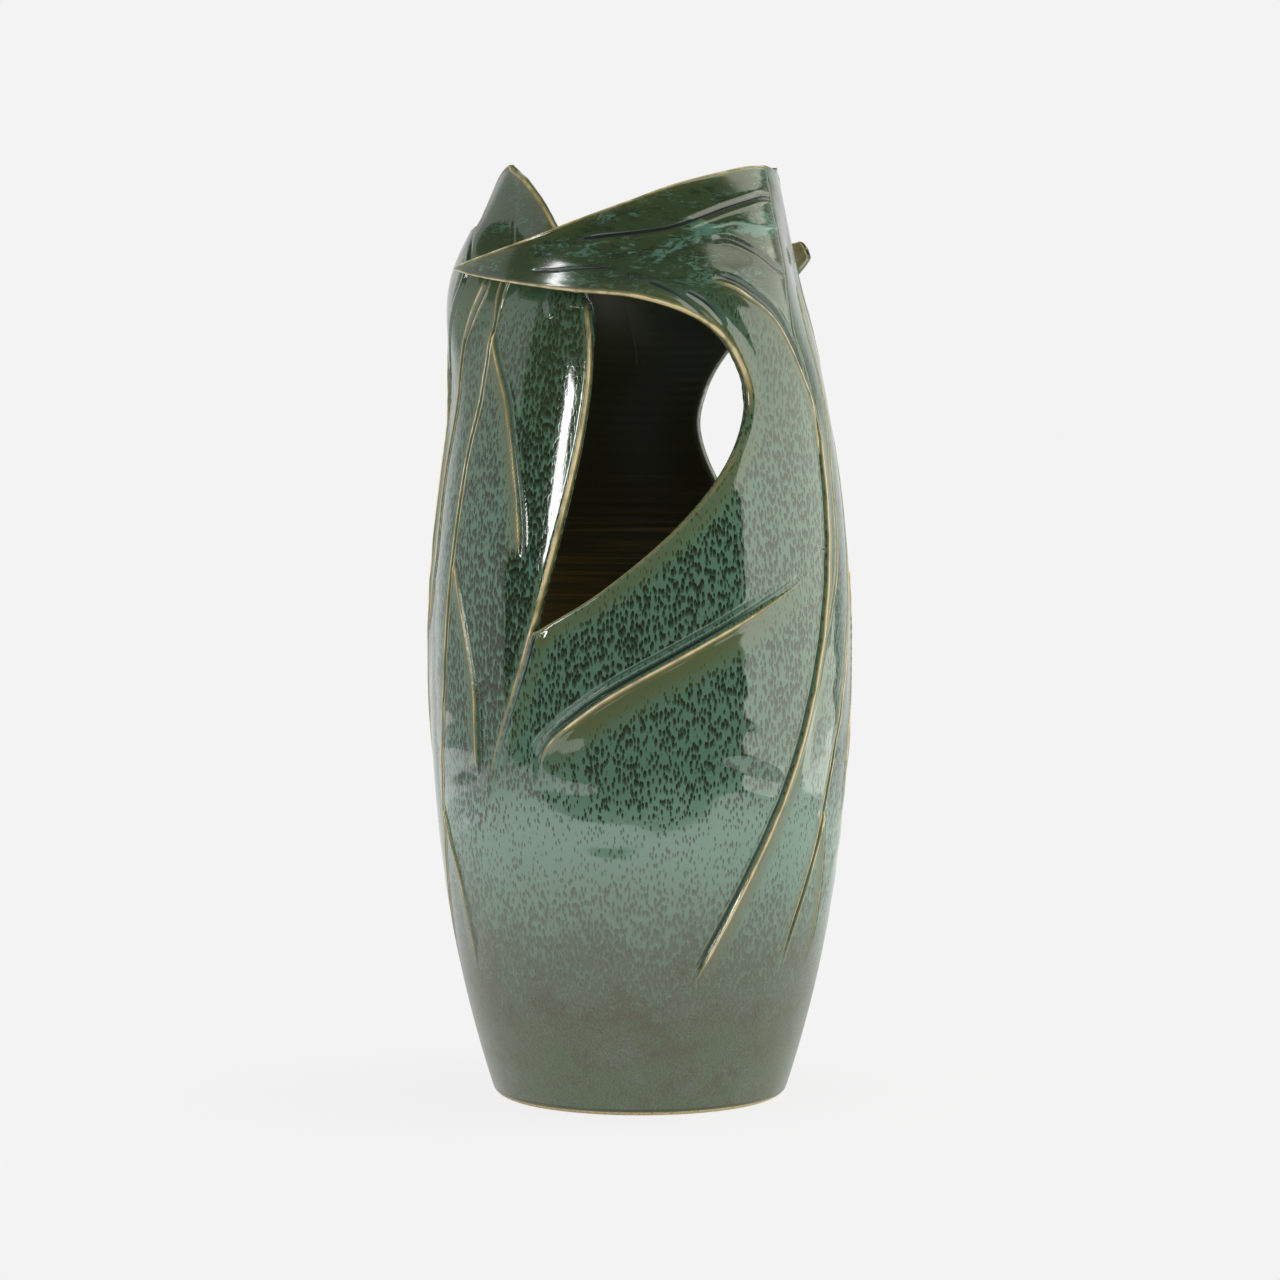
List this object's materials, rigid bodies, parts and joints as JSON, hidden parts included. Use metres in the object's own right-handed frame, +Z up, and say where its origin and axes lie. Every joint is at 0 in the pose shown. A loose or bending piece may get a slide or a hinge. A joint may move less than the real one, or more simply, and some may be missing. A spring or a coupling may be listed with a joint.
{
  "type": "stoneware pottery vase",
  "caption": "Tall glazed stoneware vase whose wall is overlapping swirling leaf blades with pierced mouths and a raised leaf-tip collar.",
  "frame": {"origin": "centre of the foot on the surface the vase stands on", "axes": "+Z up along the throwing axis, -Y the front where the widest mouth opens, +X to the right of it"},
  "size_m": [0.1772, 0.1778, 0.384],
  "materials": {
    "bare_clay": "matte",
    "glaze_low": "gloss",
    "glaze_deep": "gloss",
    "glaze_collar": "gloss",
    "glaze_pale": "gloss"
  },
  "bodies": {
    "root": {"foot_ring": "bare_clay", "thrown_base": "glaze_low", "upright_leaf_1": "glaze_deep", "upright_leaf_2": "glaze_deep", "upright_leaf_3": "glaze_deep", "swirl_leaf_1": "glaze_collar", "swirl_leaf_2": "glaze_collar", "swirl_leaf_3": "glaze_collar", "fold_leaf_1": "glaze_pale", "fold_leaf_2": "glaze_pale", "fold_leaf_3": "glaze_pale"}
  },
  "joints": []
}
